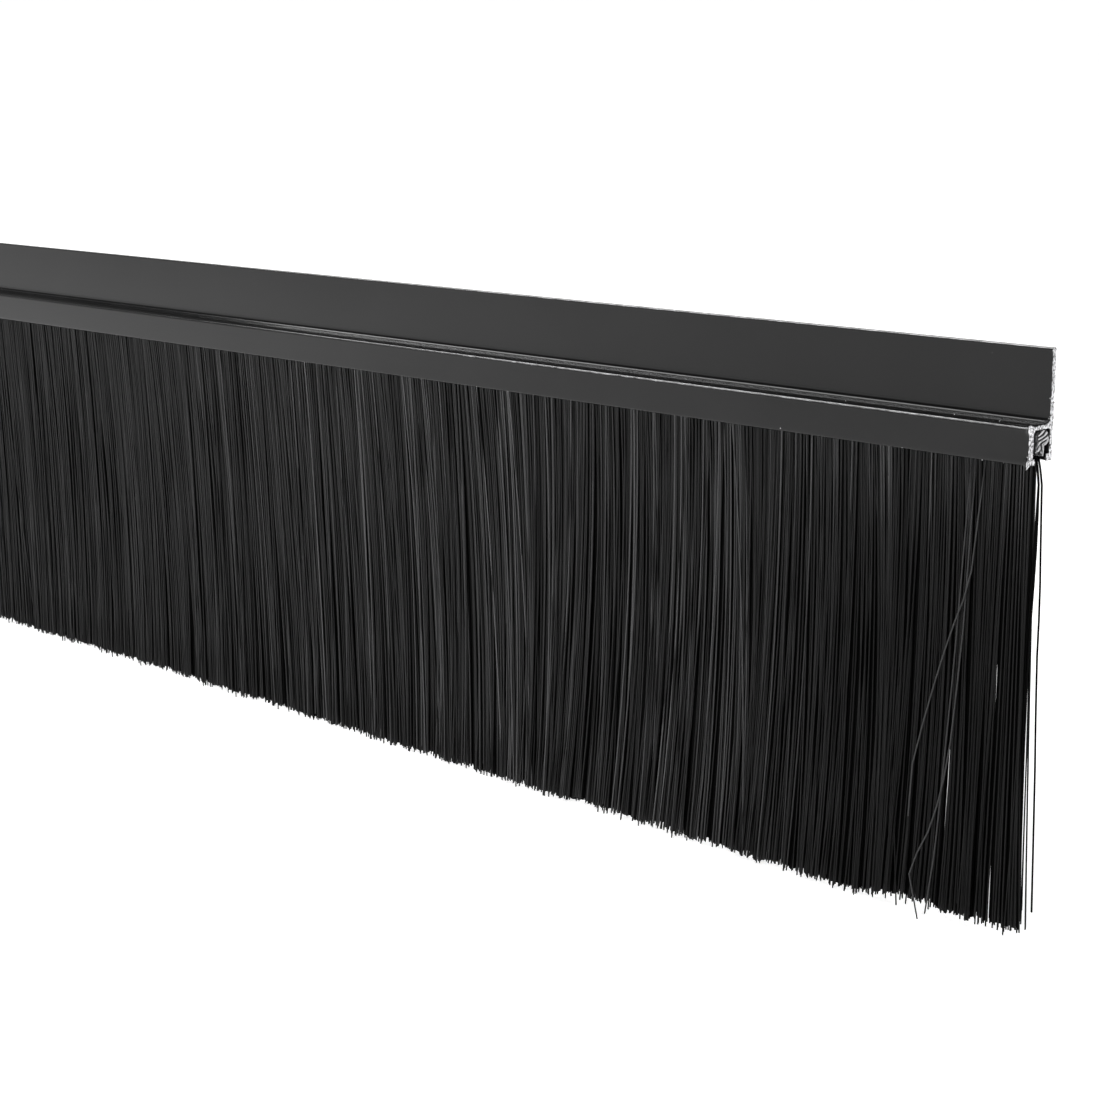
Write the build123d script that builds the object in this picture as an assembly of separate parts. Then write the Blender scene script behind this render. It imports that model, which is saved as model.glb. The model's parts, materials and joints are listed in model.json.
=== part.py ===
from build123d import *
import os

# Brush-strip door sweep. The strip runs along X, the door is on the +Y side and +Z is up.
# The origin is the middle of the carrier's back face, the face that lies against the door.

# ---- driving dimensions, mm ----
strip_length = 1000.0
carrier_height = 22.8
carrier_depth = 8.8

flange_thickness = 1.5
flange_drop = 15.0          # from the flange's top edge down to the top of the shoulder
shoulder_thickness = 1.1
front_leg_thickness = 2.0
rear_leg_thickness = 1.2
rear_leg_lift = 0.3         # the rear leg stops this far above the front leg's foot
corner_fillet = 1.2         # inside corner between the flange and the shoulder
edge_radius = 0.35          # rounding of the extrusion's outer edges
inner_radius = 0.5          # rounding of the channel's inner corners
lip_depth = 0.6             # how far the front leg's lip reaches into the mouth
lip_height = 1.1
bead_radius = 0.8           # round bead along the rear leg's inner bottom edge
bead_inset = 0.4            # the bead's centre, forward of the rear leg's inner face

backing_head_width = 4.6    # oval head, folded over the wire
backing_head_height = 2.9
backing_neck_width = 2.5
backing_foot_width = 3.1
backing_height = 4.75
backing_neck_height = 2.0   # from the backing's open edge up to its narrowest place
backing_sheet = 0.5
backing_tilt = 18.0         # degrees; the loose backing leans back at the top
backing_lift = 1.9          # the backing's open edge, above the mouth
brush_forward = 4.7         # middle of the brush at the mouth, in front of the door face
core_wire_diameter = 1.2

bristle_length = 100.0      # visible filament length below the mouth
bristle_exit_width = 2.2    # the bundle's thickness as it leaves the channel
bristle_tip_width = 5.4     # the curtain's thickness at the trimmed ends
segment_count = 20
segment_gap = 0.3           # between neighbouring lengths of the curtain
flex_drop = 3.0             # the bending line, below the mouth
flex_gap = 0.3              # between the clamped root and the moving curtain

# ---- derived places ----
top_z = carrier_height / 2
mouth_z = -carrier_height / 2
shoulder_z = top_z - flange_drop
ceiling_z = shoulder_z - shoulder_thickness
brush_y = -brush_forward
flex_z = mouth_z - flex_drop
tip_z = mouth_z - bristle_length
head_middle = backing_height - backing_head_height / 2      # also the wire's axis
segment_pitch = strip_length / segment_count

end_plane = Plane.YZ        # section sketches: local x is the row's Y, local y is the row's Z


def span(low, high):
    """Rectangle between two opposite corners, each given as (y, z)."""
    width = high[0] - low[0]
    height = high[1] - low[1]
    return Pos((low[0] + high[0]) / 2, (low[1] + high[1]) / 2) * Rectangle(width, height)


def along_strip(section, length=strip_length, middle=0.0):
    """Extrude a section drawn in the YZ plane, centred on X = middle."""
    solid = extrude(end_plane * section, amount=length / 2, both=True)
    return Pos(middle, 0, 0) * solid


def corners_at(section, y, z, reach=0.05):
    """The section's corners at one place, for rounding."""
    return [v for v in section.vertices() if abs(v.X - y) < reach and abs(v.Y - z) < reach]


def carrier_section():
    """h-shaped extrusion: flange and rear leg in one plane, shoulder and front leg before them."""
    front_y = -carrier_depth
    front_inner_y = front_y + front_leg_thickness
    rear_z = mouth_z + rear_leg_lift
    flange = span((-flange_thickness, shoulder_z - shoulder_thickness), (0, top_z))
    shoulder = span((front_y, ceiling_z), (0, shoulder_z))
    front_leg = span((front_y, mouth_z), (front_inner_y, shoulder_z))
    rear_leg = span((-rear_leg_thickness, rear_z), (0, shoulder_z))
    lip = span((front_inner_y, mouth_z), (front_inner_y + lip_depth, mouth_z + lip_height))
    section = flange + shoulder + front_leg + rear_leg + lip

    def round_off(shape, places, radius):
        picked = [v for y, z in places for v in corners_at(shape, y, z)]
        return fillet(picked, radius)

    section = round_off(section, [(-flange_thickness, shoulder_z)], corner_fillet)
    outer_edges = [(-flange_thickness, top_z), (0, top_z), (front_y, mouth_z), (0, rear_z)]
    section = round_off(section, outer_edges, edge_radius)
    section = round_off(section, [(front_y, shoulder_z)], 2 * edge_radius)
    ceiling_corners = [(front_inner_y, ceiling_z), (-rear_leg_thickness, ceiling_z)]
    section = round_off(section, ceiling_corners, inner_radius)
    section = round_off(section, [(front_inner_y + lip_depth, mouth_z)], lip_depth * 0.6)
    section = round_off(section, [(front_inner_y + lip_depth, mouth_z + lip_height)], lip_depth * 0.6)
    bead_y = -rear_leg_thickness - bead_inset
    bead = Pos(bead_y, rear_z + bead_radius) * Circle(bead_radius)
    bead_web = span((bead_y, rear_z), (-rear_leg_thickness, rear_z + 2 * bead_radius))
    return section + bead + bead_web


def keyhole(grow):
    """Outline of the pinched backing about its open edge, grown outwards by grow."""
    neck = backing_neck_width / 2 + grow
    foot = backing_foot_width / 2 + grow
    head = Ellipse(backing_head_width / 2 + grow, backing_head_height / 2 + grow)
    skirt = make_face(
        Polyline(
            (-foot, 0),
            (foot, 0),
            (neck, backing_neck_height),
            (neck, head_middle),
            (-neck, head_middle),
            (-neck, backing_neck_height),
            close=True,
        )
    )
    return skirt + Pos(0, head_middle) * head


def place_backing(section):
    """Tilt a section drawn about the backing's open edge and set it in the channel."""
    return Pos(brush_y, mouth_z + backing_lift) * Rot(0, 0, -backing_tilt) * section


def segment_section():
    """One length of the curtain: round at the bending line, thicker towards the trimmed ends."""
    top_half = bristle_exit_width / 2
    tip_half = bristle_tip_width / 2
    curtain = make_face(
        Polyline(
            (brush_y - top_half, flex_z),
            (brush_y - tip_half, tip_z),
            (brush_y + tip_half, tip_z),
            (brush_y + top_half, flex_z),
            close=True,
        )
    )
    return curtain + Pos(brush_y, flex_z) * Circle(top_half)


def root_section(wire, backing):
    """Filaments folded round the wire, filling the backing, and the bundle that leaves it."""
    half_exit = bristle_exit_width / 2
    bottom_z = flex_z + half_exit + flex_gap
    join_z = mouth_z + backing_lift + backing_sheet
    folded = place_backing(keyhole(-backing_sheet) - wire)
    bundle = span((brush_y - half_exit, bottom_z), (brush_y + half_exit, join_z))
    return folded + (bundle - backing)


wire_section = Pos(0, head_middle) * Circle(core_wire_diameter / 2)
backing_section = place_backing(keyhole(0) - keyhole(-backing_sheet))

# ---- the pieces ----
pieces = {}
pieces["carrier_profile"] = along_strip(carrier_section())
pieces["brush_backing"] = along_strip(backing_section)
pieces["core_wire"] = along_strip(place_backing(wire_section))
pieces["bristle_root"] = along_strip(root_section(wire_section, backing_section))

for index in range(segment_count):
    middle = -strip_length / 2 + (index + 0.5) * segment_pitch
    solid = along_strip(segment_section(), segment_pitch - segment_gap, middle)
    pieces[f"bristle_segment_{index + 1:02d}"] = solid

os.makedirs("parts", exist_ok=True)
for name, solid in pieces.items():
    export_step(solid, f"parts/{name}.step")
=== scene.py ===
import json
import math

import bpy
import numpy as np
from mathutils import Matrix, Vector


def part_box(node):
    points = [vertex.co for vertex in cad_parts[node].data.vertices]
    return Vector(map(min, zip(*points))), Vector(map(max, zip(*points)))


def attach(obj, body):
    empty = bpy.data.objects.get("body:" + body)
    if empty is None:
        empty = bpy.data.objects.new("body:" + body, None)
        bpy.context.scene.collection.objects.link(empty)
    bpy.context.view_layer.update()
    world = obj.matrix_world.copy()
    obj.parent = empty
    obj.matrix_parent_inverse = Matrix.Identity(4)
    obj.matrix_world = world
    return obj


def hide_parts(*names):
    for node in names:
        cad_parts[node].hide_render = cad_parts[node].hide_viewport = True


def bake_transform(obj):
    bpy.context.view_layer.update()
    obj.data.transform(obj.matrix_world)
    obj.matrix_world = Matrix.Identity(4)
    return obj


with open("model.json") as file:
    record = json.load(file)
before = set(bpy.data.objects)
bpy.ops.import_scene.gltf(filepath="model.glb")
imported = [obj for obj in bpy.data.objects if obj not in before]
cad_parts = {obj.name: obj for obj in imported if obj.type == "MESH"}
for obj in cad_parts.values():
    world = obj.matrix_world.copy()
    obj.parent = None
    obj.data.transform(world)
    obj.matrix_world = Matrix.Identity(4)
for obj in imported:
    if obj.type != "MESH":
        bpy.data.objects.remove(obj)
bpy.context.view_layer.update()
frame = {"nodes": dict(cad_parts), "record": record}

# ---- places, in metres, taken from the frame: X along the strip, -Y the front, Z up ----
carrier_low, carrier_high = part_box("carrier_profile")
left_x, right_x = carrier_low.x, carrier_high.x
front_y, back_y = carrier_low.y, carrier_high.y
mouth_z, top_z = carrier_low.z, carrier_high.z
segments = sorted(n for n in frame["nodes"] if n.startswith("bristle_segment_"))
tip_low, tip_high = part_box(segments[0])
tip_z = tip_low.z
brush_y = (tip_low.y + tip_high.y) / 2
mounts = {m["name"]: m for m in frame["record"]["mounts"]}
flange_y = mounts["flange_front"]["pos_m"][1]

# ---- the extrusion's section, in metres ----
FLANGE_DROP = 0.0150
SHOULDER = 0.0011
FRONT_LEG = 0.0020
REAR_LEG = 0.0012
REAR_LIFT = 0.0003
CORNER_FILLET = 0.0012
EDGE_RADIUS = 0.00035
CEILING_RADIUS = 0.0005
LIP_DEPTH = 0.0006
LIP_HEIGHT = 0.0011
BEAD_RADIUS = 0.0008
BEAD_INSET = 0.0004

# ---- the strip brush ----
BACKING_LIFT = 0.0019       # the backing's open edge, above the mouth
BACKING_TILT = math.radians(18)
BACKING_HEIGHT = 0.00475
HEAD_HALF_WIDTH = 0.0023
HEAD_HALF_HEIGHT = 0.00145
HEAD_MIDDLE = BACKING_HEIGHT - HEAD_HALF_HEIGHT
BACKING_NECK = 0.00125      # half widths
BACKING_FOOT = 0.00155
BACKING_NECK_Z = 0.0020
BACKING_SHEET = 0.0005
CRUSH_FORWARD = 0.0005      # how far the saw dragged the cut end forwards
WIRE_RADIUS = 0.0006

FILAMENT_RADIUS = 0.00018
FILAMENTS_PER_SEGMENT = 800
FILAMENT_RINGS = 12
FILAMENT_SIDES = 5
RING_PLACES = np.linspace(0, 1, FILAMENT_RINGS) ** 1.6     # closer together where the curtain bends
EXIT_HALF = 0.00100         # half the bundle's thickness at the mouth
ROOT_LIFT = 0.0012          # the visible filaments start this far above the mouth
HEART = 0.40                # filaments nearer the middle of the curtain than this are inner ones
FREE_HAIRS = 3              # the first hairs in end_hairs() hang clear of the curtain
FLOOR_Z = tip_z - 0.0016    # just under the longest filaments

rng = np.random.default_rng(656)


# ---------------------------------------------------------------- mesh helpers
def new_object(name, vertices, faces, smooth=True):
    mesh = bpy.data.meshes.new(name)
    mesh.from_pydata([tuple(v) for v in vertices], [], [tuple(f) for f in faces])
    mesh.polygons.foreach_set("use_smooth", [smooth] * len(mesh.polygons))
    mesh.update()
    made = bpy.data.objects.new(name, mesh)
    bpy.context.scene.collection.objects.link(made)
    return made


def arc(centre, radius, start, end, steps):
    """Points on a circle in the YZ plane, angles in degrees from +Y towards +Z."""
    angles = np.radians(np.linspace(start, end, steps + 1))
    return [(centre[0] + radius * math.cos(a), centre[1] + radius * math.sin(a)) for a in angles]


def hold_flats(outline, reach=0.00012):
    """Add a point just inside both ends of every flat, so that smooth shading leaves it flat."""
    held = []
    for here, ahead in zip(outline, np.roll(outline, -1, axis=0)):
        held.append(here)
        length = np.linalg.norm(ahead - here)
        if length > 4 * reach:
            step = (ahead - here) / length * reach
            held += [here + step, ahead - step]
    return np.array(held)


def carrier_outline():
    """The h-shaped section, anticlockwise seen from the +X end, as (y, z) points."""
    shoulder_z = top_z - FLANGE_DROP
    ceiling_z = shoulder_z - SHOULDER
    leg_inner = front_y + FRONT_LEG
    rear_inner = back_y - REAR_LEG
    rear_z = mouth_z + REAR_LIFT
    e, c, s, q = EDGE_RADIUS, CORNER_FILLET, 2 * EDGE_RADIUS, CEILING_RADIUS
    lip_y = leg_inner + LIP_DEPTH
    lip_r = LIP_DEPTH * 0.6
    bead_y = rear_inner - BEAD_INSET
    bead_z = rear_z + BEAD_RADIUS
    bead_rise = math.sqrt(BEAD_RADIUS**2 - BEAD_INSET**2)
    points = []
    points += arc((back_y - e, rear_z + e), e, -90, 0, 5)
    points += arc((back_y - e, top_z - e), e, 0, 90, 5)
    points += arc((flange_y + e, top_z - e), e, 90, 180, 5)
    points += arc((flange_y - c, shoulder_z + c), c, 0, -90, 12)
    points += arc((front_y + s, shoulder_z - s), s, 90, 180, 10)
    points += arc((front_y + e, mouth_z + e), e, 180, 270, 5)
    points += arc((lip_y - lip_r, mouth_z + lip_r), lip_r, -90, 0, 5)
    points += arc((lip_y - lip_r, mouth_z + LIP_HEIGHT - lip_r), lip_r, 0, 90, 5)
    points += [(leg_inner, mouth_z + LIP_HEIGHT)]
    points += arc((leg_inner + q, ceiling_z - q), q, 180, 90, 5)
    points += arc((rear_inner - q, ceiling_z - q), q, 90, 0, 5)
    points += [(rear_inner, bead_z + bead_rise)]
    bead_start = math.degrees(math.atan2(bead_rise, BEAD_INSET))
    points += arc((bead_y, bead_z), BEAD_RADIUS, bead_start, 270, 14)
    return hold_flats(np.array(points))


# ---------------------------------------------------------------- materials
def material(name):
    made = bpy.data.materials.new(name)
    made.use_nodes = True
    nodes, links = made.node_tree.nodes, made.node_tree.links
    return made, nodes, links, nodes["Principled BSDF"]


def add(nodes, kind, **inputs):
    """A new node with some of its inputs set."""
    node = nodes.new(kind)
    for key, value in inputs.items():
        node.inputs[key].default_value = value
    return node


def noise_texture(nodes, links, vector, **inputs):
    """The factor of a noise texture laid out by vector."""
    node = add(nodes, "ShaderNodeTexNoise", **inputs)
    links.new(vector, node.inputs["Vector"])
    return node.outputs["Fac"]


def stretched(nodes, links, vector, scale, turn=0.0):
    """Object coordinates scaled along each axis and turned about X."""
    node = nodes.new("ShaderNodeMapping")
    node.inputs["Scale"].default_value = scale
    node.inputs["Rotation"].default_value = (turn, 0, 0)
    links.new(vector, node.inputs["Vector"])
    return node.outputs["Vector"]


def calculate(nodes, links, operation, first, second, third=None):
    """A Math node; each operand is a socket or a number."""
    node = nodes.new("ShaderNodeMath")
    node.operation = operation
    for index, operand in enumerate((first, second, third)):
        if isinstance(operand, (int, float)):
            node.inputs[index].default_value = operand
        elif operand is not None:
            links.new(operand, node.inputs[index])
    return node.outputs["Value"]


def colour_by(nodes, links, shader, factor, *stops):
    """Base colour from a grey ramp, given as (place, grey value) stops."""
    colour = ramp(nodes, *((place, grey(value)) for place, value in stops))
    links.new(factor, colour.inputs["Fac"])
    links.new(colour.outputs["Color"], shader.inputs["Base Color"])


def bump_by(nodes, links, shader, height, strength, distance):
    bump = add(nodes, "ShaderNodeBump", Strength=strength, Distance=distance)
    links.new(height, bump.inputs["Height"])
    links.new(bump.outputs["Normal"], shader.inputs["Normal"])


def ramp(nodes, *stops):
    """A colour ramp with (place, colour) stops."""
    node = nodes.new("ShaderNodeValToRGB")
    elements = node.color_ramp.elements
    while len(elements) < len(stops):
        elements.new(0.5)
    for element, (place, colour) in zip(elements, stops):
        element.position = place
        element.color = (*colour, 1)
    return node


def grey(value):
    """A grey, a touch blue."""
    return (value, value, value * 1.02)


def span(nodes, links, source, low, high, at_low, at_high):
    """A socket that runs from at_low to at_high while the source runs from low to high."""
    node = nodes.new("ShaderNodeMapRange")
    for key, value in (("From Min", low), ("From Max", high), ("To Min", at_low), ("To Max", at_high)):
        node.inputs[key].default_value = value
    links.new(source, node.inputs["Value"])
    return node.outputs["Result"]


def black_anodised():
    made, nodes, links, shader = material("black_anodised_aluminium")
    place = nodes.new("ShaderNodeTexCoord").outputs["Object"]
    along = stretched(nodes, links, place, (6, 900, 900))
    drawn = noise_texture(nodes, links, along, Scale=1.0, Detail=6.0, Roughness=0.6)
    cloud = noise_texture(nodes, links, place, Scale=38.0, Detail=4.0, Roughness=0.55)
    colour_by(nodes, links, shader, cloud, (0.3, 0.0030), (0.7, 0.0048))
    links.new(span(nodes, links, cloud, 0, 1, 0.11, 0.16), shader.inputs["Roughness"])
    bump_by(nodes, links, shader, drawn, 0.04, 0.00002)
    shader.inputs["IOR"].default_value = 1.36
    return made


def sawn_aluminium():
    """Bare metal with the saw's tooth marks and dark pits."""
    made, nodes, links, shader = material("sawn_aluminium")
    place = nodes.new("ShaderNodeTexCoord").outputs["Object"]
    cut = stretched(nodes, links, place, (1, 700, 3800), turn=math.radians(24))
    teeth = noise_texture(nodes, links, cut, Scale=1.0, Detail=5.0, Roughness=0.7)
    pits = noise_texture(nodes, links, place, Scale=1700.0, Detail=4.0, Roughness=0.65)
    colour_by(nodes, links, shader, pits, (0.38, 0.03), (0.46, 0.40), (0.56, 0.84))
    bump_by(nodes, links, shader, teeth, 1.0, 0.00012)
    shader.inputs["Metallic"].default_value = 1.0
    shader.inputs["Roughness"].default_value = 0.48
    return made


def galvanised_steel():
    made, nodes, links, shader = material("galvanised_steel")
    place = nodes.new("ShaderNodeTexCoord").outputs["Object"]
    spangle = add(nodes, "ShaderNodeTexVoronoi", Scale=420.0)
    links.new(place, spangle.inputs["Vector"])
    grime = noise_texture(nodes, links, place, Scale=900.0, Detail=5.0, Roughness=0.65)
    mixed = nodes.new("ShaderNodeMix")
    mixed.data_type = "FLOAT"
    mixed.inputs[0].default_value = 0.55
    links.new(spangle.outputs["Distance"], mixed.inputs[2])
    links.new(grime, mixed.inputs[3])
    colour_by(nodes, links, shader, mixed.outputs[0], (0.2, 0.17), (0.5, 0.36), (0.8, 0.58))
    links.new(span(nodes, links, grime, 0, 1, 0.34, 0.56), shader.inputs["Roughness"])
    bump_by(nodes, links, shader, grime, 0.35, 0.00005)
    shader.inputs["Metallic"].default_value = 1.0
    return made


def crushed_steel():
    """The sheet's cut end: painted highlight on the ridges and painted shade in the folds, set by fold
    heights stored on the mesh.
    """
    made, nodes, links, shader = material("crushed_steel")
    place = nodes.new("ShaderNodeTexCoord").outputs["Object"]
    grit = noise_texture(nodes, links, place, Scale=2600.0, Detail=4.0, Roughness=0.6)
    fold_and_shade = nodes.new("ShaderNodeAttribute")
    fold_and_shade.attribute_name = "fold_and_shade"
    # painted shade in the folds and painted highlight on the ridges: the stored fold heights, broken up
    # by grit, pick the grey
    height = calculate(nodes, links, "MULTIPLY_ADD", grit, 0.9, fold_and_shade.outputs["Fac"])
    height = calculate(nodes, links, "MULTIPLY", height, 0.75)
    colour_by(nodes, links, shader, height, (0.40, 0.010), (0.62, 0.06), (0.80, 0.34), (0.96, 0.60))
    bump_by(nodes, links, shader, grit, 0.8, 0.00010)
    shader.inputs["Metallic"].default_value = 1.0
    shader.inputs["Roughness"].default_value = 0.42
    return made


def drawn_wire():
    made, nodes, links, shader = material("drawn_wire")
    place = nodes.new("ShaderNodeTexCoord").outputs["Object"]
    noise = noise_texture(nodes, links, place, Scale=1500.0, Detail=4.0)
    colour_by(nodes, links, shader, noise, (0.3, 0.20), (0.7, 0.45))
    shader.inputs["Metallic"].default_value = 1.0
    shader.inputs["Roughness"].default_value = 0.42
    return made


def black_filament():
    """Each filament has its own tone, stored on the mesh, with painted shade and painted highlight mixed
    in.
    """
    made, nodes, links, shader = material("black_filament")
    tone_and_painted_light = nodes.new("ShaderNodeAttribute")
    tone_and_painted_light.attribute_name = "tone_and_painted_light"
    colour_by(nodes, links, shader, tone_and_painted_light.outputs["Fac"], (0.0, 0.001), (0.5, 0.007), (1.0, 0.050))
    links.new(span(nodes, links, tone_and_painted_light.outputs["Fac"], 0, 1, 0.75, 0.22), shader.inputs["Roughness"])
    shader.inputs["IOR"].default_value = 1.245
    return made


def shaded_inner_filament():
    """Painted shade: a darker, matt copy of the filament material for the heart of the curtain, dark
    between the outer ones.
    """
    made, nodes, links, shader = material("shaded_inner_filament")
    tone_and_painted_light = nodes.new("ShaderNodeAttribute")
    tone_and_painted_light.attribute_name = "tone_and_painted_light"
    colour_by(nodes, links, shader, tone_and_painted_light.outputs["Fac"], (0.0, 0.0006), (0.25, 0.003))
    shader.inputs["Roughness"].default_value = 0.6
    shader.inputs["IOR"].default_value = 1.08
    return made


def painted_edge_highlight():
    """The shoulder's front edge and the flange's top: a painted highlight, lighter and more reflective
    than the black finish, growing towards the right end.
    """
    made, nodes, links, shader = material("painted_edge_highlight")
    place = nodes.new("ShaderNodeTexCoord").outputs["Object"]
    noise = noise_texture(nodes, links, place, Scale=240.0, Detail=5.0, Roughness=0.7)
    split = nodes.new("ShaderNodeSeparateXYZ")
    links.new(place, split.inputs["Vector"])
    # painted highlight: noise patches that fade in towards the right end
    along = span(nodes, links, split.outputs["X"], 0.24, 0.36, 0, 1)
    highlight_patches = calculate(nodes, links, "MULTIPLY", noise, along)
    colour_by(nodes, links, shader, highlight_patches, (0.0, 0.003), (0.38, 0.050), (0.75, 0.30))
    bump_by(nodes, links, shader, noise, 0.25, 0.00002)
    shader.inputs["Roughness"].default_value = 0.20
    shader.inputs["IOR"].default_value = 2.2
    return made


def pale_floor():
    """A white sheet, lit from below: strongest behind the object, weakest near the camera."""
    made, nodes, links, shader = material("pale_floor")
    place = nodes.new("ShaderNodeTexCoord").outputs["Object"]
    noise = noise_texture(nodes, links, place, Scale=3.0, Detail=3.0)
    colour = ramp(nodes, (0.3, (0.90,) * 3), (0.7, (0.93,) * 3))
    links.new(noise, colour.inputs["Fac"])
    links.new(colour.outputs["Color"], shader.inputs["Base Color"])
    shader.inputs["Roughness"].default_value = 0.9
    shader.inputs["Emission Color"].default_value = (1, 1, 1, 1)
    away = nodes.new("ShaderNodeVectorMath")
    away.operation = "DISTANCE"
    away.inputs[1].default_value = (0.30, -0.40, FLOOR_Z)
    links.new(place, away.inputs[0])
    glows = ((0.10, 0.10), (0.33, 0.31), (0.39, 0.43), (0.46, 0.545),
             (0.54, 0.59), (0.73, 0.52), (0.90, 0.35))
    rings = ramp(nodes, *((reach, (strength,) * 3) for reach, strength in glows))
    links.new(span(nodes, links, away.outputs["Value"], 0, 1.5, 0, 1), rings.inputs["Fac"])
    split = nodes.new("ShaderNodeSeparateXYZ")
    links.new(place, split.inputs["Vector"])
    behind = span(nodes, links, split.outputs["Y"], -0.30, -0.10, 0.10, 0.60)
    glow = calculate(nodes, links, "MAXIMUM", rings.outputs["Color"], behind)
    links.new(glow, shader.inputs["Emission Strength"])
    return made


BLACK, SAWN, EDGE_HIGHLIGHT = black_anodised(), sawn_aluminium(), painted_edge_highlight()
STEEL, CRUSHED, WIRE = galvanised_steel(), crushed_steel(), drawn_wire()
FILAMENT, SHADED_INNER = black_filament(), shaded_inner_filament()


# ---------------------------------------------------------------- the carrier
def finer(outline, step=0.0004):
    """Split the long flats of an outline, for the ragged edges at the saw cuts."""
    points = []
    for here, ahead in zip(outline, np.roll(outline, -1, axis=0)):
        parts = max(1, int(np.linalg.norm(ahead - here) / step))
        points += [here + (ahead - here) * k / parts for k in range(parts)]
    return np.array(points)


def burr(outline):
    """How far the saw pushed the metal out of the section at each point of the outline."""
    shoulder_z = top_z - FLANGE_DROP
    # y, z, height and reach of each heap
    heaps = [
        (front_y, mouth_z, 0.00095, 0.0008),
        (front_y + FRONT_LEG + LIP_DEPTH, mouth_z, 0.00035, 0.0006),
        (front_y, shoulder_z, 0.00060, 0.0013),
        (back_y - REAR_LEG - BEAD_INSET, mouth_z + REAR_LIFT, 0.00020, 0.0007),
        (flange_y, top_z, 0.00010, 0.0008),
    ]
    push = rng.normal(0, 0.00004, len(outline))
    push = (push + np.roll(push, 1) + np.roll(push, 2)) * 0.8
    for y, z, height, reach in heaps:
        away = np.hypot(outline[:, 0] - y, outline[:, 1] - z)
        push += height * np.exp(-((away / reach) ** 2)) * rng.uniform(0.5, 1.2, len(outline))
    return push


def carrier():
    """The extrusion, with the burr left along the edges of both saw cuts."""
    outline = finer(carrier_outline())
    count = len(outline)
    edges = np.roll(outline, -1, axis=0) - np.roll(outline, 1, axis=0)
    normals = np.stack([edges[:, 1], -edges[:, 0]], axis=1)
    normals /= np.linalg.norm(normals, axis=1)[:, None]
    # distance from the cut, share of the burr, share of the rounding at the cut's rim
    near_cut = [(0, 1.0, 1.0), (0.00012, 1.0, 0.15), (0.00040, 0.3, 0), (0.0012, 0, 0)]
    stations = [(left_x + x, amount, rolled) for x, amount, rolled in near_cut]
    stations += [(x, 0, 0) for x in np.linspace(left_x + 0.02, right_x - 0.02, 25)]
    stations += [(right_x - x, amount, rolled) for x, amount, rolled in reversed(near_cut)]
    inset = {side: rng.uniform(0.00004, 0.00022, count) for side in (-1, 1)}
    push = {-1: burr(outline), 1: burr(outline)}
    curl = {-1: rng.uniform(-0.00010, 0.00005, count), 1: rng.uniform(-0.00010, 0.00005, count)}
    vertices, faces = [], []
    for x, amount, rolled in stations:
        side = -1 if x < 0 else 1
        moved = outline + normals * (push[side] * amount - inset[side] * rolled)[:, None]
        vertices += [(x + side * curl[side][k] * amount, moved[k, 0], moved[k, 1]) for k in range(count)]
    for index in range(len(stations) - 1):
        a, b = index * count, (index + 1) * count
        for k in range(count):
            m = (k + 1) % count
            faces.append((a + k, b + k, b + m, a + m))
    skin_faces = len(faces)
    last = (len(stations) - 1) * count
    faces.append(tuple(range(count)))
    faces.append(tuple(last + k for k in reversed(range(count))))
    made = new_object("carrier_extrusion", vertices, faces)
    for surface in (BLACK, SAWN, EDGE_HIGHLIGHT):
        made.data.materials.append(surface)
    shoulder_z = top_z - FLANGE_DROP
    # painted highlight: these edges of the section take the edge-highlight material
    worn = [z > top_z - 0.8 * EDGE_RADIUS
            or (y < front_y + 0.6 * EDGE_RADIUS and z > shoulder_z - 1.4 * EDGE_RADIUS)
            for y, z in outline]
    for polygon in made.data.polygons:
        if polygon.index >= skin_faces:
            polygon.material_index = made.data.materials.find(SAWN.name)
            polygon.use_smooth = False
        elif worn[polygon.index % count] and worn[(polygon.index + 1) % count]:
            polygon.material_index = made.data.materials.find(EDGE_HIGHLIGHT.name)
    made.data.set_sharp_from_angle(angle=math.radians(40))
    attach(made, "carrier")
    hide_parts("carrier_profile")


def crumbs():
    """A few specks of swarf left on the shoulder and along the edges near the cut."""
    shoulder_z = top_z - FLANGE_DROP
    spots = [(-0.0055, front_y, mouth_z), (-0.0105, front_y, mouth_z),
             (-0.030, front_y, mouth_z + 0.0001),
             (-0.0085, -0.0062, shoulder_z), (-0.020, -0.0052, shoulder_z), (-0.047, -0.0058, shoulder_z),
             (-0.024, front_y + 0.0002, shoulder_z - 0.0002), (-0.062, front_y, mouth_z + 0.0006),
             (-0.093, -0.0045, shoulder_z), (-0.014, flange_y, top_z - 0.0022)]
    vertices, faces = [], []
    for along, y, z in spots:
        size = rng.uniform(0.00007, 0.00015)
        start = len(vertices)
        for dx, dy, dz in ((1, 0, 0), (-1, 0, 0), (0, 1, 0), (0, -1, 0), (0, 0, 1), (0, 0, -1)):
            r = size * rng.uniform(0.7, 1.4)
            vertices.append((right_x + along + dx * r, y + dy * r, z + dz * r))
        for i in (0, 1):
            for j in (2, 3):
                for k in (4, 5):
                    corner = (start + i, start + j, start + k)
                    faces.append(corner if (i + j + k) % 2 == 0 else corner[::-1])
    made = new_object("swarf", vertices, faces, smooth=False)
    made.data.materials.append(SAWN)
    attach(made, "carrier")


# ---------------------------------------------------------------- the strip brush
def tilted(y, z):
    """From the backing's own frame, about its open edge, to the row frame."""
    c, s = math.cos(-BACKING_TILT), math.sin(-BACKING_TILT)
    return brush_y + y * c - z * s, mouth_z + BACKING_LIFT + y * s + z * c


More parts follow.
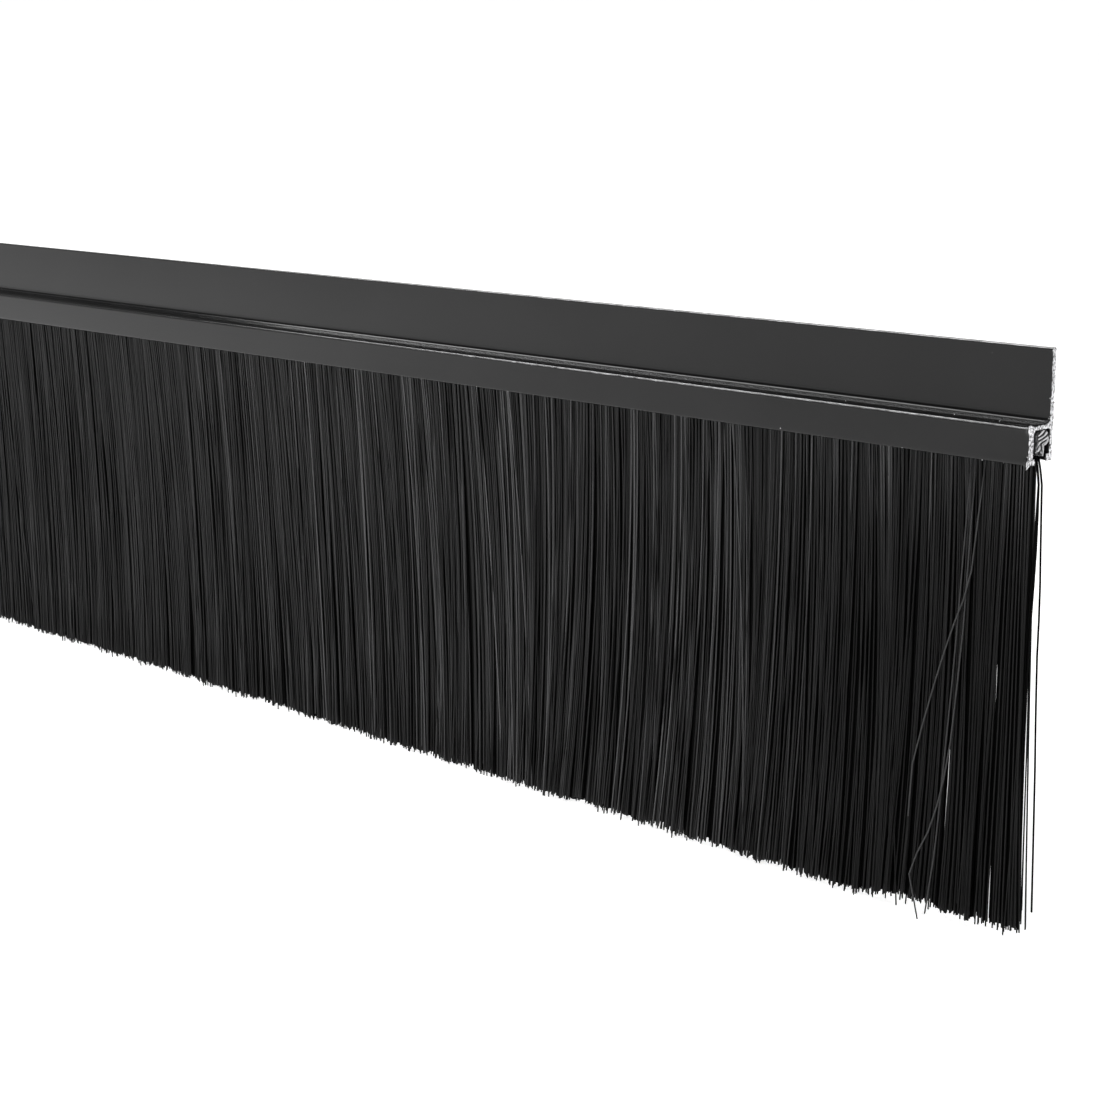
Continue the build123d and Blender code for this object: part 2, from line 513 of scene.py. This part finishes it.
def keyhole_flat(inset, steps=22):
    """The backing's line from its front foot over the head to its rear foot, moved in by inset."""
    wide, tall = HEAD_HALF_WIDTH - inset, HEAD_HALF_HEIGHT - inset
    neck, foot = BACKING_NECK - inset, BACKING_FOOT - inset
    dip = math.degrees(math.acos(neck / wide))
    angles = np.radians(np.linspace(180 + dip, -dip, steps + 1))
    crown = [(wide * math.cos(a), HEAD_MIDDLE + tall * math.sin(a)) for a in angles]
    front = [(-foot, 0), (-(foot + neck) / 2, BACKING_NECK_Z / 2), (-neck, BACKING_NECK_Z)]
    rear = [(-y, z) for y, z in reversed(front)]
    return front + crown + rear


def keyhole_line(inset):
    """The same line, tilted and set in the channel."""
    return [tilted(y, z) for y, z in keyhole_flat(inset)]


def backing():
    """Folded steel strip, a little crushed where the saw went through it."""
    outer, inner = keyhole_line(0), keyhole_line(BACKING_SHEET)
    outline = np.array(outer + inner[::-1])
    count = len(outline)
    stations = [left_x + 0.00005, left_x + 0.0006, left_x + 0.003]
    stations += list(np.linspace(left_x + 0.02, right_x - 0.02, 41))
    stations += [right_x - 0.003, right_x - 0.0006, right_x - 0.00005]
    vertices, faces = [], []
    for x in stations:
        near_end = min(x - left_x, right_x - x) < 0.001
        crush = 0.00010 if near_end else 0.00003
        wobble = rng.normal(0, crush, (count, 2)) * 0.5
        for k in range(count):
            y, z = outline[k] + wobble[k]
            vertices.append((x, y, z))
    for index in range(len(stations) - 1):
        a, b = index * count, (index + 1) * count
        for k in range(count):
            m = (k + 1) % count
            faces.append((a + k, a + m, b + m, b + k))
    last = (len(stations) - 1) * count
    half = len(outer)
    for ring, flip in ((0, True), (last, False)):
        for k in range(half - 1):
            quad = (ring + k, ring + k + 1, ring + count - 2 - k, ring + count - 1 - k)
            faces.append(tuple(reversed(quad)) if flip else quad)
    made = new_object("backing_strip", vertices, faces)
    made.data.materials.append(STEEL)
    made.data.set_sharp_from_angle(angle=math.radians(38))
    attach(made, "strip_brush")
    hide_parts("brush_backing")


def crushed_ends():
    """The folded sheet smeared over the filaments and wire where the saw went through."""
    outline = np.array(keyhole_flat(0, steps=44))
    rings = np.linspace(0, 0.94, 17)
    count = len(outline)
    for side, name in ((-1, "left"), (1, "right")):
        end = left_x if side < 0 else right_x
        vertices, faces, fold_shades = [], [], []
        for ring in rings:
            for y, z in outline:
                head = float(fade(z, 0.0016, 0.0028))
                pinch = 1 - 0.30 * math.exp(-(((z - 0.0019) / 0.0006) ** 2)) - 0.16 * head
                middle = min(max(z, 0.0005), HEAD_MIDDLE)
                at_y = y * pinch * (1 - ring) - CRUSH_FORWARD + 0.25 * max(0, z - 0.0022)
                at_y += rng.normal(0, 0.00002)
                at_z = 1.06 * (z + (middle - z) * ring) + rng.normal(0, 0.00002)
                across = 0.75 * at_z - 0.65 * at_y
                fold_and_shade = 0.5 + 0.5 * math.sin(across / 0.00015 + 1.5 * math.sin(at_z / 0.0006 + 1.3 * side))
                rim = min(1.0, ring / 0.12)
                # stored for the painted shade and highlight of the crushed steel, darker at the outer rim
                fold_shades.append(fold_and_shade * (0.35 + 0.65 * rim))
                depth = 0.00004 + 0.00018 * fold_and_shade * rim + rng.uniform(0, 0.00004)
                vertices.append((end + side * depth, *tilted(at_y, at_z)))
        for ring in range(len(rings) - 1):
            a, b = ring * count, (ring + 1) * count
            for k in range(count - 1):
                quad = (a + k, a + k + 1, b + k + 1, b + k)
                faces.append(quad if side > 0 else quad[::-1])
        made = new_object(f"crushed_{name}", vertices, faces)
        stored = made.data.attributes.new("fold_and_shade", "FLOAT", "POINT")
        stored.data.foreach_set("value", fold_shades)
        made.data.materials.append(CRUSHED)
        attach(made, "strip_brush")


def tubes(name, paths, radii, tones, inner=None):
    """One mesh of many tubes. paths is (filaments, rings, 3); inner marks the ones in the heart, which
    get the painted-shade material.
    """
    sides = FILAMENT_SIDES
    many, rings, _ = paths.shape
    along = np.gradient(paths, axis=1)
    along /= np.linalg.norm(along, axis=2)[:, :, None]
    across = np.cross(along, np.array([0.0, 1.0, 0.0]))
    small = np.linalg.norm(across, axis=2) < 0.2
    across[small] = np.cross(along[small], np.array([1.0, 0.0, 0.0]))
    across /= np.linalg.norm(across, axis=2)[:, :, None]
    other = np.cross(along, across)
    spin = rng.uniform(0, 2 * math.pi, many)
    vertices = np.zeros((many, rings, sides, 3))
    for side in range(sides):
        angle = spin + 2 * math.pi * side / sides
        c, s = np.cos(angle)[:, None, None], np.sin(angle)[:, None, None]
        vertices[:, :, side] = paths + (across * c + other * s) * radii[:, None, None]
    index = np.arange(many * rings * sides).reshape(many, rings, sides)
    a = index[:, :-1, :]
    b = index[:, 1:, :]
    quads = np.stack([a, np.roll(a, -1, axis=2), np.roll(b, -1, axis=2), b], axis=-1).reshape(-1, 4)
    caps = np.concatenate([index[:, 0, ::-1], index[:, -1, :]]).reshape(-1, sides)
    mesh = bpy.data.meshes.new(name)
    points = vertices.reshape(-1, 3)
    mesh.vertices.add(len(points))
    mesh.vertices.foreach_set("co", points.astype(np.float32).ravel())
    sizes = np.concatenate([np.full(len(quads), 4), np.full(len(caps), sides)])
    loops = np.concatenate([quads.ravel(), caps.ravel()])
    mesh.loops.add(len(loops))
    mesh.loops.foreach_set("vertex_index", loops.astype(np.int32))
    mesh.polygons.add(len(sizes))
    starts = np.concatenate([[0], np.cumsum(sizes)[:-1]])
    mesh.polygons.foreach_set("loop_start", starts.astype(np.int32))
    smooth = np.concatenate([np.ones(len(quads), bool), np.zeros(len(caps), bool)])
    mesh.polygons.foreach_set("use_smooth", smooth)
    mesh.update(calc_edges=True)
    tone_and_painted_light = mesh.attributes.new("tone_and_painted_light", "FLOAT", "POINT")
    tones = np.broadcast_to(np.reshape(tones, (many, -1)), (many, rings))
    tone_and_painted_light.data.foreach_set("value", np.repeat(tones.ravel(), sides).astype(np.float32))
    # a strip of the picture for each filament: across by its place along the strip, up by height
    layer = mesh.uv_layers.new(name="OFBake")
    low, high = points.min(axis=0), points.max(axis=0)
    extent = np.maximum(high - low, 1e-6)
    filament = np.repeat(np.arange(many), rings * sides)
    side_of = np.tile(np.arange(sides), many * rings)
    base_u = (paths[:, :, 0].mean(axis=1) - low[0]) / extent[0]
    u = 0.01 + 0.95 * base_u[filament] + 0.02 * side_of / sides
    v = 0.01 + 0.98 * (points[:, 2] - low[2]) / extent[2]
    uv = np.stack([u, v], axis=1)[loops]
    layer.data.foreach_set("uv", uv.astype(np.float32).ravel())
    mesh.materials.append(FILAMENT)
    if inner is not None:
        mesh.materials.append(SHADED_INNER)
        chosen = np.concatenate([np.repeat(inner, (rings - 1) * sides), inner, inner])
        mesh.polygons.foreach_set("material_index", chosen.astype(np.int32))
    made = bpy.data.objects.new(name, mesh)
    bpy.context.scene.collection.objects.link(made)
    return made


def folded_roots():
    """Filaments folded inside the backing: loops round the wire at each end, a plain core between."""
    paths, tones = [], []
    for end, inward in ((left_x, 1), (right_x, -1)):
        for row in range(9):
            for layer in range(3):
                x = end + inward * (0.00016 + 0.00030 * row + rng.uniform(0, 0.00008))
                wide = (WIRE_RADIUS + FILAMENT_RADIUS) * (1 + layer * 0.36)
                tall = WIRE_RADIUS + FILAMENT_RADIUS * (1 + layer * 0.4)
                narrow = (layer + 0.7) / 3 * (BACKING_NECK - BACKING_SHEET)
                angles = np.radians(np.linspace(205, -25, 12))
                loop = [(wide * math.cos(a), HEAD_MIDDLE + tall * math.sin(a)) for a in angles]
                down = [(narrow, BACKING_NECK_Z), (narrow * 1.05, 0.0010), (narrow * 1.1, -0.0002)]
                line = [(-y, z) for y, z in reversed(down)] + loop + down
                paths.append([(x, *tilted(y, z)) for y, z in line])
                tones.append(rng.uniform(0.1, 1.0))
    radii = np.full(len(paths), FILAMENT_RADIUS)
    made = tubes("folded_filaments", np.array(paths), radii, np.array(tones))
    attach(made, "strip_brush")
    core_line = np.array(keyhole_line(BACKING_SHEET + 0.00002))
    count = len(core_line)
    ends = [left_x + 0.0024, right_x - 0.0024]
    vertices = [(x, y, z) for x in ends for y, z in core_line]
    faces = [(k, (k + 1) % count, count + (k + 1) % count, count + k) for k in range(count)]
    faces.append(tuple(reversed(range(count))))
    faces.append(tuple(count + k for k in range(count)))
    core = new_object("filament_core", vertices, faces)
    core.data.materials.append(FILAMENT)
    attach(core, "strip_brush")
    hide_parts("bristle_root")


def smooth_noise(x, wavelength, seed):
    """Repeatable smooth noise along the strip, roughly from -1 to 1."""
    local = np.random.default_rng(seed)
    knots = local.uniform(-1, 1, int((right_x - left_x) / wavelength) + 6)
    place = (x - left_x) / wavelength + 2
    low = np.clip(np.floor(place).astype(int), 0, len(knots) - 2)
    f = np.clip(place - low, 0, 1)
    f = f * f * (3 - 2 * f)
    return knots[low] * (1 - f) + knots[low + 1] * f


def fade(value, low, high):
    """0 below low, 1 above high, smooth between."""
    t = np.clip((value - low) / (high - low), 0, 1)
    return t * t * (3 - 2 * t)


def comb(root_x):
    """How the curtain leans along the strip: the slope at the root, and what is added by the tips."""
    places = [-0.50, -0.36, -0.22, -0.06, 0.10, 0.20, 0.24, 0.267, 0.30, 0.386, 0.433, 0.50]
    slopes = [0.03, -0.01, 0.11, 0.02, 0.14, 0.14, 0.10, 0.11, 0.15, 0.05, 0.045, 0.055]
    at_root = np.interp(root_x, places, slopes) + 0.03 * smooth_noise(root_x, 0.030, 21)
    added = -0.115 + 0.05 * smooth_noise(root_x, 0.045, 22)
    # the outermost filaments at both ends hang nearly straight
    loose = 1 - fade(np.abs(root_x), right_x - 0.019, right_x - 0.007)
    return at_root * (0.3 + 0.7 * loose), added * loose


def filament_paths(root_x, depth, node):
    """Centre lines of the filaments of one length of the curtain."""
    many = len(root_x)
    low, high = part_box(node)
    t = RING_PLACES
    start_z = mouth_z + ROOT_LIFT
    layer = np.where(depth < -HEART, 2, np.where(depth > HEART, 1, 0))
    at_root, added = comb(root_x)
    # neighbours in the front and back layers lean together in locks; the heart hangs straight
    lock = np.zeros(many)
    for k in range(3):
        chosen = layer == k
        lock[chosen] = (0.001, 0.014, 0.020)[k] * smooth_noise(root_x[chosen], 0.0062, 31 + k)
        lock[chosen] += (0.0, 0.010, 0.016)[k] * smooth_noise(root_x[chosen], 0.0021, 41 + k)
    ragged = fade(root_x, right_x - 0.030, right_x - 0.018)
    own = rng.normal(0, 1, many) * np.where(layer == 0, 0.0004 + 0.0015 * ragged, 0.011)
    steady = np.arange(many) % 2 == 0
    stray = (rng.uniform(0, 1, many) < 0.03) & ~steady & (root_x < right_x - 0.012)
    own = own + stray * rng.normal(0, 0.030, many)
    curl = added + rng.normal(0, 1, many) * np.where(layer == 0, 0.0005 + 0.0015 * ragged, 0.014)
    curl = curl + stray * rng.normal(0, 0.03, many)
    tip_depth = depth * (high.y - low.y) / 2 * 0.90
    # the curtain parts in two places near the sawn end
    for parting, opening in ((right_x - 0.0056, 0.010), (right_x - 0.0027, 0.009)):
        away = root_x + tip_depth - parting
        curl = curl + np.sign(away) * opening * np.exp(-np.abs(away) / 0.0012)
    wave = 0.00025 * smooth_noise(root_x, 0.011, 16) + 0.0004 * smooth_noise(root_x, 0.0023, 17)
    worn = 0.0021 * fade(root_x, right_x - 0.045, right_x - 0.022)
    tips = tip_z + worn + wave + rng.normal(0, 0.00040, many)
    tips = tips + ragged * 0.0010 * smooth_noise(root_x, 0.0017, 18)
    tips = tips - (rng.uniform(0, 1, many) < 0.03) * rng.uniform(0.0004, 0.0014, many)
    tips = tips + (rng.uniform(0, 1, many) < 0.05) * rng.uniform(0.0004, 0.0030, many)
    long = start_z - tips       # lengths
    slope = at_root + lock + own
    paths = np.zeros((many, FILAMENT_RINGS, 3))
    paths[:, :, 0] = root_x[:, None] + long[:, None] * (slope[:, None] * t + curl[:, None] * t**2 / 2)
    tip_depth = tip_depth + rng.normal(0, 1, many) * np.where(steady, 0.00003, 0.00024)
    tip_depth += 0.0004 * smooth_noise(root_x, 0.013, 15)
    root_depth = depth * EXIT_HALF
    bow = np.sin(math.pi * t) * t**0.5
    bow_y = rng.normal(0, 1, many) * np.where(steady, 0.00003, 0.00024) - stray * 0.0005
    paths[:, :, 1] = brush_y + root_depth[:, None] + (tip_depth - root_depth)[:, None] * t
    paths[:, :, 1] += bow_y[:, None] * bow
    paths[:, :, 2] = start_z + (tips - start_z)[:, None] * t
    return paths, stray


def end_hairs():
    """Loose hairs near the sawn end, and which of them hang free of the curtain.

    Each is a list of places (from the end, forward of the brush, below the mouth) in mm."""
    shapes = [
        [(-0.30, -0.3, -1.2), (0.9, 0.0, 3), (1.3, 0.0, 15), (1.8, 0.0, 27.5),
         (1.8, 0.0, 42), (2.7, 0.0, 65), (3.5, 0.0, 93.5)],
        [(-0.45, 0.3, -1.2), (0.3, 0.2, 3), (0.5, 0.2, 15), (0.2, 0.2, 28),
         (-0.2, 0.2, 38), (-0.2, 0.2, 53), (0.6, 0.2, 96)],
        [(-0.35, 0.6, -1.2), (0.5, 0.5, 3), (0.2, 0.4, 15), (-0.2, 0.3, 28),
         (-0.7, 0.3, 40), (-0.3, 0.3, 70), (0.3, 0.3, 95.5)],
        [(-11.6, 0.9, -1.2), (-12.9, 3.0, 26), (-16.4, 3.5, 36), (-19.6, 3.4, 46),
         (-25.0, 3.3, 66), (-25.7, 3.2, 79)],
        [(-14.0, 0.8, -1.2), (-14.6, 2.4, 40), (-16.2, 3.3, 65), (-19.3, 3.5, 79),
         (-24.9, 3.6, 90.7), (-22.2, 3.5, 101.3)],
        [(-15.0, 0.9, -1.2), (-16.5, 2.2, 45), (-18.9, 2.8, 85), (-20.8, 2.9, 99.8)],
    ]
    paths = []
    for shape in shapes:
        points = np.array([(right_x + x / 1000, brush_y - y / 1000, mouth_z - z / 1000)
                           for x, y, z in shape])
        place = np.linspace(0, len(points) - 1, FILAMENT_RINGS)
        knots = np.arange(len(points))
        paths.append(np.stack([np.interp(place, knots, points[:, k]) for k in range(3)], axis=1))
    return np.array(paths), np.arange(len(shapes)) < FREE_HAIRS


def curtain(number, node):
    """One length of the curtain."""
    many = FILAMENTS_PER_SEGMENT
    pitch = (right_x - left_x) / len(segments)
    x_low = left_x + (number - 1) * pitch
    root_x = x_low + (np.arange(many) + rng.uniform(0, 1, many)) / many * pitch
    root_x = np.clip(root_x, left_x + 0.0012, right_x - 0.0012)
    # depth in the curtain, from -1 at the front to 1 at the back; every second one is an inner filament
    pattern = [0, -0.8, 0, 0.2, 0, 0.8, 0, -0.6, 0, 0.6, 0, -0.2, 0, -0.7, 0, 0.7]
    depth = np.resize(pattern, many) + rng.uniform(-0.19, 0.19, many)
    depth[::2] *= 0.4
    paths, stray = filament_paths(root_x, depth, node)
    contrast = 0.40 + 0.60 * fade(root_x, 0.15, 0.35)
    tones = 0.30 + (rng.beta(1.2, 2.2, many) - 0.30) * contrast
    inner = np.abs(depth) < HEART
    # painted shade: the inner filaments also get low tones
    tones = np.where(inner, 0.10 * rng.uniform(0, 2, many), tones)
    # painted highlight: the stray hairs get lighter, glossier tones
    tones = np.clip(tones + stray * 0.3 * contrast, 0, 1)
    # painted shade: filaments near the right end turn darker and rougher towards their tips
    painted_shade = 0.75 * fade(root_x, 0.425, 0.465)[:, None] * fade(RING_PLACES, 0.02, 0.35)
    tones = tones[:, None] * (1 - painted_shade)
    radii = FILAMENT_RADIUS * rng.uniform(0.93, 1.05, many)
    if number == len(segments):
        loose, free = end_hairs()
        paths = np.concatenate([paths, loose])
        # painted shade on the free hairs, painted highlight on the hairs lying in the curtain
        hair_shade_and_highlight = np.where(free, 0.1, 0.7)
        tones = np.concatenate([tones, np.repeat(hair_shade_and_highlight[:, None], FILAMENT_RINGS, axis=1)])
        # the free hairs also take the painted-shade material
        inner = np.concatenate([inner, free])
        radii = np.concatenate([radii, FILAMENT_RADIUS * np.where(free, 1.3, 1.0)])
    made = tubes(f"filaments_{number:02d}", paths, radii, tones, inner)
    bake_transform(made)
    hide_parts(node)


carrier()
crumbs()
backing()
crushed_ends()
frame["nodes"]["core_wire"].data.materials.clear()
frame["nodes"]["core_wire"].data.materials.append(WIRE)
folded_roots()
for number, node in enumerate(segments, 1):
    curtain(number, node)


# ---------------------------------------------------------------- floor, light and camera
corners = [(x, y, FLOOR_Z) for x, y in ((-8, -8), (8, -8), (8, 8), (-8, 8))]
floor = new_object("floor", corners, [(0, 1, 2, 3)])
floor.data.materials.append(pale_floor())


def softbox(name, place, target, width, height, power, spread=180):
    light = bpy.data.lights.new(name, "AREA")
    light.shape = "RECTANGLE"
    light.size, light.size_y = width, height
    light.energy = power
    light.spread = math.radians(spread)
    made = bpy.data.objects.new(name, light)
    made.location = place
    made.rotation_mode = "QUATERNION"
    made.rotation_quaternion = (Vector(target) - Vector(place)).to_track_quat("-Z", "Y")
    bpy.context.scene.collection.objects.link(made)
    return made


softbox("line_softbox", (-0.37, -0.15, 0.83), (-0.37, -0.10, 0), 0.90, 0.20, 4.9)
softbox("key_softbox", (0.90, -1.70, 0.25), (0.12, 0, -0.04), 0.40, 0.30, 2.2, spread=34)

overhead = bpy.data.lights.new("overhead", "SUN")
overhead.energy = 1.7
overhead.angle = math.radians(60)
overhead_lamp = bpy.data.objects.new("overhead", overhead)
overhead_lamp.location = (0, -0.7, 2)
overhead_lamp.rotation_euler = (math.radians(20), 0, 0)
bpy.context.scene.collection.objects.link(overhead_lamp)


def studio():
    """A white backdrop round the floor; the room above and in front of the set is darker."""
    world = bpy.data.worlds.new("studio")
    bpy.context.scene.world = world
    world.use_nodes = True
    nodes, links = world.node_tree.nodes, world.node_tree.links
    place = nodes.new("ShaderNodeTexCoord")
    split = nodes.new("ShaderNodeSeparateXYZ")
    links.new(place.outputs["Generated"], split.inputs["Vector"])
    shade = ramp(nodes, (0.0, (1, 1, 1)), (0.16, (1, 1, 1)), (0.55, (0.30,) * 3))
    links.new(split.outputs["Z"], shade.inputs["Fac"])
    links.new(shade.outputs["Color"], nodes["Background"].inputs["Color"])
    behind = span(nodes, links, split.outputs["Y"], -0.30, 0.05, 0.12, 1.02)
    horizon = span(nodes, links, split.outputs["Z"], 0.17, 0.29, 1.02, 0.12)
    strength = calculate(nodes, links, "MAXIMUM", behind, horizon)
    links.new(strength, nodes["Background"].inputs["Strength"])


studio()

camera_data = bpy.data.cameras.new("camera")
camera_data.lens = 70.84
camera_data.sensor_width = 36
camera = bpy.data.objects.new("camera", camera_data)
camera.location = (right_x + 0.2281, back_y - 0.3736, mouth_z + 0.0754)
CAMERA_YAW = math.radians(44.64)
CAMERA_PITCH = math.radians(12.39)
camera.rotation_euler = (math.radians(90) - CAMERA_PITCH, 0, CAMERA_YAW)
camera_data.clip_start, camera_data.clip_end = 0.01, 50
bpy.context.scene.collection.objects.link(camera)
bpy.context.scene.camera = camera
bpy.context.scene.view_settings.view_transform = "Standard"
